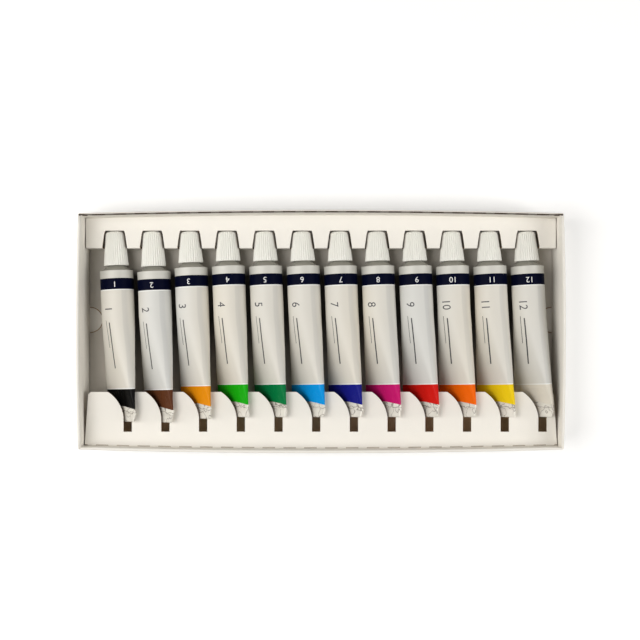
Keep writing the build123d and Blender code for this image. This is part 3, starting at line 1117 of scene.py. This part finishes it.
def girth_marks():
    """Places round the tube for the mesh, closer together at the two edges where it is pressed flat."""
    half = pi * TUBE_RADIUS
    quarter = list(GIRTH_STEPS) + [half / 2] + [half - s for s in reversed(GIRTH_STEPS)]
    return quarter[:-1] + [-s for s in reversed(quarter)][:-1]


def body_stations():
    """Distances down the tube at which the mesh has a ring, with every print edge among them."""
    label_marks = [NAVY_END, NAVY_END + EDGE_LINE, LABEL_END - EDGE_LINE, LABEL_END]
    marks = [BODY_START, COLLAR_END, *label_marks, CRIMP_START]
    stations = marks[:1]
    for start, end in zip(marks, marks[1:]):
        stations += divided(start, end, max(1, round((end - start) / STATION_STEP)))
    return stations


def zone_at(distance):
    """Material slot of the tube at a distance down from the shoulder."""
    if NAVY_END < distance < NAVY_END + EDGE_LINE or LABEL_END - EDGE_LINE < distance < LABEL_END:
        return LINE_ZONE
    limits = (
        (COLLAR_END, COLLAR_ZONE), (NAVY_END, NAVY_ZONE), (LABEL_END, LABEL_ZONE), (CRIMP_START, BAND_ZONE)
    )
    return next((zone for limit, zone in limits if distance < limit), CRIMP_ZONE)


def border_slant(girth, distance):
    """How far the lower border of the colour band hangs down on the tail's raised side."""
    near = 1 - min(1.0, abs(distance - CRIMP_START) / SLANT_REACH)
    across = max(-1.0, (SLANT_HALF - abs(girth)) / SLANT_HALF)
    return CRIMP_SLANT * near * across


def mouth_rings(girths):
    """Shoulder, threaded neck and mouth, from the orifice out to the collar."""
    threaded = divided(NECK_END - THREAD_GAPS[0], SHOULDER_HEIGHT + THREAD_GAPS[1], THREAD_STEPS)
    profile = [(NECK_END - down, ORIFICE_RADIUS + out, 0) for down, out in ORIFICE_EDGE]
    profile += [(NECK_END - down, NECK_RADIUS - less, 0) for down, less in NECK_EDGE]
    profile += [(z, NECK_RADIUS, THREAD_DEPTH) for z in threaded[:-1]]
    profile += [(SHOULDER_HEIGHT + up, radius, 0) for up, radius in NECK_FOOT]
    profile += [(SHOULDER_HEIGHT * share, radius, 0) for share, radius in SHOULDER_CURVE]
    profile += [(z, radius, 0) for z, radius in COLLAR_EDGE]
    rings = []
    for z, radius, depth in profile:
        ring = []
        for girth in girths:
            angle = girth / TUBE_RADIUS
            groove = depth * (0.5 + 0.5 * cos(2 * pi * z / THREAD_PITCH - angle))
            ring.append((radius - groove) * Vector((cos(angle), sin(angle), 0)) + Vector((0, 0, z)))
        rings.append(ring)
    return rings


def crimp_rings(girths, seed):
    """Tail folded over itself into a flat bar, with the fold's edge and one crease across it."""
    full_half = CRIMP_THICKNESS / 2
    profile = [(CRIMP_START + down, full_half - less) for down, less in CRIMP_TOP]
    profile += [(TUBE_LENGTH - up, full_half - less) for up, less in CRIMP_FOOT]
    width_share = CRIMP_HALF / (pi / 2 * (TUBE_RADIUS - FLAT_HALF) + FLAT_HALF)
    buckle, buckle_across, buckle_each = BUCKLE
    rings = []
    for distance, half in profile:
        late = (distance - CRIMP_START) / (TUBE_LENGTH - CRIMP_START)
        curl = CURL[0] + CURL[1] * sin(CURL[2] * late + seed)
        turn = (CORNER_TURN[0] + CORNER_TURN[1] * sin(CORNER_TURN[2] * seed)) * late**2
        ring = []
        for girth in girths:
            flat, _ = on_section(FLAT_HALF, girth)
            x = flat[0] * width_share
            y = half * (1 if flat[1] > 0 else -1) * min(1.0, abs(flat[1]) / FLAT_HALF * CRIMP_FULLNESS)
            outer = max(0.0, x - CURL_FROM) / CURL_SPAN
            y += CRIMP_SHIFT + outer * curl
            y += buckle * (1 + sin(buckle_across * x + buckle_each * seed)) * sin(pi * late)
            x -= outer * turn
            ring.append(Vector((x, y, -distance - border_slant(girth, distance))))
        rings.append(ring)
    return rings


def make_tube(index, materials):
    """Printed aluminium tube from its mouth to its folded tail."""
    place = tube_place(index)
    girths = girth_marks()
    rings = mouth_rings(girths)
    zones = [MOUTH_ZONE] * (len(rings) - 1) + [COLLAR_ZONE]
    drops = [0.0] * len(rings)
    for distance in body_stations():
        half = half_thickness(distance)
        ring = []
        for girth in girths:
            flat, normal = on_section(half, girth)
            flat = flat + normal * wrinkle(index, girth, distance) * min(1.0, half)
            ring.append(Vector((*flat, -distance - border_slant(girth, distance))))
        rings.append(ring)
        zones.append(zone_at(distance + JUST_PAST))
        drops.append(distance)
    crimp = crimp_rings(girths, index)
    rings += crimp
    zones += [CRIMP_ZONE] * len(crimp)
    drops += [-ring[0][2] for ring in crimp]
    placed = [[place @ point for point in ring] for ring in rings]
    points, faces = skin_rings(placed)
    count = len(girths)
    face_zones = [zones[row] for row in range(len(rings) - 1) for _ in range(count)]
    face_zones += [MOUTH_ZONE, CRIMP_ZONE]
    name = f"tube_shell_{index + 1:02d}"
    piece = make_piece(name, points, faces, materials, face_zones, sharp=40)
    add_wrap_map(piece.data, girths, drops)
    return piece


def add_wrap_map(mesh, girths, drops):
    """Map of a tube's print: round the tube, and down it."""
    wrap = mesh.uv_layers.new(name="wrap")
    count = len(girths)
    period = 2 * pi * TUBE_RADIUS
    for face in mesh.polygons:
        first = girths[mesh.loops[face.loop_start].vertex_index % count]
        for loop in face.loop_indices:
            vertex = mesh.loops[loop].vertex_index
            around = girths[vertex % count]
            around -= period * round((around - first) / period)
            around += WRAP_MIDDLE
            wrap.data[loop].uv = (around / MAP_SCALE, drops[vertex // count] / MAP_SCALE)


def make_cap(index, plastic):
    """Tapered screw cap with rounded flutes, a chamfered end and a bore for the neck."""
    place = tube_place(index)
    length = CAP_LENGTH + SET_BACK[index]
    bevel_at = length - CAP_BEVEL

    def radius_at(distance):
        return CAP_NEAR_RADIUS + (CAP_FAR_RADIUS - CAP_NEAR_RADIUS) * distance / length

    before, less, share = CAP_SHOULDER
    profile = [
        (BORE_END - CAP_START, BORE_RADIUS, 0.0),
        *CAP_RIM,
        (CAP_SIDE_START, radius_at(CAP_SIDE_START), CAP_SIDE_SHARE),
        *((d, radius_at(d), 1.0) for d in divided(CAP_SIDE_START, bevel_at, CAP_SIDE_STEPS)),
        (length - before, radius_at(bevel_at) - less, share),
        *((length - before, radius, flute) for before, radius, flute in CAP_FACE),
    ]
    around = CAP_FLUTES * FLUTE_STEPS
    rings = []
    for distance, radius, flute in profile:
        ring = []
        for i in range(around):
            phase = 2 * pi * (i % FLUTE_STEPS) / FLUTE_STEPS
            out = radius - FLUTE_DEPTH * flute * (0.5 - 0.5 * cos(phase)) ** FLUTE_SHARPNESS
            angle = 2 * pi * i / around
            point = Vector((out * cos(angle), out * sin(angle), CAP_START + distance))
            ring.append(place @ point)
        rings.append(ring)
    points, faces = skin_rings(rings)
    return make_piece(f"fluted_cap_{index + 1:02d}", points, faces, [plastic], sharp=50)


# Print on the tubes


def number_mesh(text, size):
    """Flat mesh of a plain number, centred on the origin, cut in narrow strips across y."""
    curve = bpy.data.curves.new("number", "FONT")
    curve.body = text
    curve.size = size
    curve.align_x = "CENTER"
    curve.align_y = "CENTER"
    curve.resolution_u = 4
    writer = add_object("number", curve)
    bpy.context.view_layer.update()
    mesh = bpy.data.meshes.new_from_object(writer)
    bpy.data.objects.remove(writer)
    shape = bmesh.new()
    shape.from_mesh(mesh)
    for axis in ((0, 1, 0), (1, 0, 0)):
        cut = -size
        while cut < size:
            everything = shape.verts[:] + shape.edges[:] + shape.faces[:]
            bmesh.ops.bisect_plane(shape, geom=everything, plane_co=Vector(axis) * cut, plane_no=axis)
            cut += STRIP_STEP
    return shape


def bar_mesh(length, width):
    """Flat bar along y, centred on the origin, in short lengths."""
    shape = bmesh.new()
    steps = max(1, round(length / BAR_STEP))
    rows = [
        [shape.verts.new((x, -length / 2 + length * i / steps, 0)) for x in (-width / 2, width / 2)]
        for i in range(steps + 1)
    ]
    for before, after in zip(rows, rows[1:]):
        shape.faces.new((before[0], before[1], after[1], after[0]))
    return shape


def girth_under(distance, offset):
    """Distance round the section of the upper point that is so far to the right of the tube's axis."""
    half = half_thickness(distance)
    low = -(pi / 2 * half + pi * (TUBE_RADIUS - half) + (pi / 2 - CRIMP_TILT) * half)
    high = CRIMP_TILT * half
    for _ in range(HALVINGS):
        middle = (low + high) / 2
        flat, _ = on_section(half, middle)
        if flat[0] * cos(CRIMP_TILT) + flat[1] * sin(CRIMP_TILT) < offset:
            low = middle
        else:
            high = middle
    return middle


def wrap_print(index, marks):
    """Lays flat marks on a tube: x of the page runs across it, y of the page down it."""
    place = tube_place(index)
    points = []
    faces = []
    zones = []
    for shape, turn, offset, distance, zone in marks:
        first = len(points)
        shape.verts.index_update()
        for vert in shape.verts:
            across = vert.co.x * cos(turn) - vert.co.y * sin(turn)
            down = vert.co.x * sin(turn) + vert.co.y * cos(turn)
            here = distance - down
            around = girth_under(here, offset + across + PRINT_DRIFT * max(0.0, here - PRINT_FROM))
            half = half_thickness(here)
            flat, normal = on_section(half, around)
            flat = flat + normal * (wrinkle(index, around, here) * min(1.0, half) + INK_LIFT)
            points.append(place @ Vector((*flat, -here)))
        for face in shape.faces:
            faces.append(tuple(first + v.index for v in face.verts))
            zones.append(zone)
        shape.free()
    return points, faces, zones


def make_print(index, dark_ink, white_ink):
    """Plain number and rules on the label, and the same number on the navy band."""
    roll = LABEL_ROLL[index]
    number = str(index + 1)
    marks = [
        (number_mesh(number, LABEL_NUMBER_SIZE), -pi / 2, roll + LABEL_NUMBER_AT[0], LABEL_NUMBER_AT[1], 0)
    ]
    for length, width, offset, distance in RULES:
        marks.append((bar_mesh(length, width), 0, roll + offset, distance, 0))
    marks.append(
        (number_mesh(number, BAND_NUMBER_SIZE), pi, roll + BAND_NUMBER_AT[0], BAND_NUMBER_AT[1], 1)
    )
    points, faces, zones = wrap_print(index, marks)
    return make_piece(f"tube_print_{index + 1:02d}", points, faces, [dark_ink, white_ink], zones)


# Camera, light and floor


def add_camera():
    """Camera that looks straight down, framed by lens shift."""
    data = bpy.data.cameras.new("camera")
    data.sensor_width = SENSOR
    data.lens = FOCAL_PIXELS / FRAME_PIXELS * SENSOR
    data.shift_x = -(CENTRE_PIXEL[0] - FRAME_PIXELS / 2) / FRAME_PIXELS
    data.shift_y = (CENTRE_PIXEL[1] - FRAME_PIXELS / 2) / FRAME_PIXELS
    camera = add_object("camera", data)
    camera.location = Vector((0, 0, CAMERA_HEIGHT)) * MM
    bpy.context.scene.camera = camera


def add_light(name, place, size, power, colour):
    """Soft area light that points at the tray."""
    data = bpy.data.lights.new(name, "AREA")
    data.shape = "RECTANGLE"
    data.size, data.size_y = size
    data.energy = power
    data.color = colour
    light = add_object(name, data)
    light.location = place
    light.rotation_mode = "QUATERNION"
    light.rotation_quaternion = (-Vector(place)).to_track_quat("-Z", "Y")


def seen_directly(tree):
    """1 for a ray from the camera, or one that metal or glass sends on, and 0 for light."""
    path = tree.nodes.new("ShaderNodeLightPath")
    seen = math_node(tree, "MAXIMUM", path.outputs["Is Camera Ray"], path.outputs["Is Transmission Ray"])
    return math_node(tree, "MAXIMUM", seen, path.outputs["Is Glossy Ray"])


def add_world(strength, backdrop):
    """Even pale surroundings; the camera sees the backdrop's level."""
    world = bpy.data.worlds.new("surroundings")
    bpy.context.scene.world = world
    world.use_nodes = True
    tree = world.node_tree
    background = tree.nodes["Background"]
    background.inputs["Color"].default_value = (*WARM_WHITE, 1.0)
    level = times_plus(tree, seen_directly(tree), backdrop - strength, strength)
    tree.links.new(level, background.inputs["Strength"])


def add_floor(colour, lift):
    """Plain pale floor under the tray, lifted towards white where it is looked at."""
    mesh = bpy.data.meshes.new("floor")
    corners = [(x * FLOOR_HALF, y * FLOOR_HALF, 0) for x, y in ((-1, -1), (1, -1), (1, 1), (-1, 1))]
    mesh.from_pydata(corners, [], [(0, 1, 2, 3)])
    material, tree, shader = new_material("floor", roughness=0.9, specular=0.1)
    put(tree, colour, shader.inputs["Base Color"])
    put(tree, (1.0, 1.0, 1.0), shader.inputs["Emission Color"])
    glow = math_node(tree, "MULTIPLY", seen_directly(tree), lift)
    put(tree, glow, shader.inputs["Emission Strength"])
    mesh.materials.append(material)
    floor = add_object("floor", mesh)


# The set

pressed_card = paper_group()
lacquer = printed_metal_group()
moulded = moulded_group()

strip = FoldedStrip()

rail_fold = strip.flat(5, FOLD_RADIUS - RAIL_FACE_Y)
foil = foil_group()

# The tray's rim line and nicks carry painted shade
tray_card = card_material("tray_card", pressed_card, CARD_WHITE, 0.04, rim_cuts_and_painted_shade, CUT_AND_PAINTED_SHADE_DARK)
cut_edge = card_material("cut_card_edge", pressed_card, CARD_EDGE, mottle=0.12)
# Brown card with painted shade under the tail rail
card_inside = card_material("under_rail_card_painted_shade", pressed_card, inside_colour, mottle=0.15)
# Grey dashes of painted shade along the tail rail's rear fold
insert_card = card_material(
    "insert_card", pressed_card, CARD_WHITE, 0.045,
    lambda tree: skip_cuts(tree, rail_fold, RAIL_CUT_WIDTH, between=0.0), RAIL_CUT_PAINTED_SHADE,
)
# Bed card with painted shade
bed_card_painted_shade = card_material("bed_card_painted_shade", pressed_card, bed_colour_with_painted_shade, mottle=0.06)
collar = print_material(
    "collar_aluminium", lacquer, COLLAR_METAL, gloss=0.5, rub=0.12, specular=0.5, metallic=0.12
)
# Shoulder and neck painted darker than bare metal, as shade
shoulder = print_material(
    "shoulder_aluminium_painted_shade", lacquer, SHOULDER_METAL_PAINTED_SHADE, gloss=0.38, rub=0.12, specular=0.5, metallic=0.4
)
crimp = crimp_material("crimped_aluminium", lacquer, foil)
navy_band = print_material("navy_band", lacquer, NAVY, gloss=0.34, rub=0.1, specular=0.015)
label = label_material("pale_label", lacquer)
label_line = print_material("label_edge_line", lacquer, LABEL_LINE, gloss=0.5, rub=0.04, coat=0.05)
dark_ink = print_material("grey_ink", lacquer, INK_GREY, gloss=0.4, rub=0.1, coat=0.1)
white_ink = print_material("white_ink", lacquer, INK_WHITE, gloss=0.4, rub=0.1, coat=0.1)
cap_plastic = plastic_material("cap_plastic", moulded, CAP_WHITE, roughness=0.42)

tray = make_tray(tray_card)
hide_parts("tray")
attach(tray, "tray")

insert = make_insert([insert_card, cut_edge, card_inside, bed_card_painted_shade], strip)
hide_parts("insert")
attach(insert, "insert")

for i, (paint_name, paint_colour) in enumerate(PAINTS):
    number = f"{i + 1:02d}"
    band_colour = LABEL_WARM if paint_name == "white" else paint_colour
    band = enamel_material(f"band_{paint_name}", lacquer, foil, band_colour)
    shell = make_tube(i, [collar, navy_band, label, label_line, band, crimp, shoulder])
    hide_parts(f"tube_{number}")
    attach(shell, f"tube_{number}")
    cap = make_cap(i, cap_plastic)
    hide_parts(f"cap_{number}")
    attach(cap, f"cap_{number}")
    marks = make_print(i, dark_ink, white_ink)
    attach(marks, f"tube_{number}")
    paint = plastic_material(f"paint_{paint_name}", moulded, paint_colour, roughness=0.2, coat=0.4)
    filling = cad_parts[f"paint_{number}"]
    filling.data.materials.clear()
    filling.data.materials.append(paint)

add_floor(FLOOR_COLOUR, FLOOR_LIFT)
add_world(WORLD_STRENGTH, BACKDROP)
for lamp in LAMPS:
    add_light(*lamp)
add_camera()
bpy.context.scene.view_settings.view_transform = "Standard"
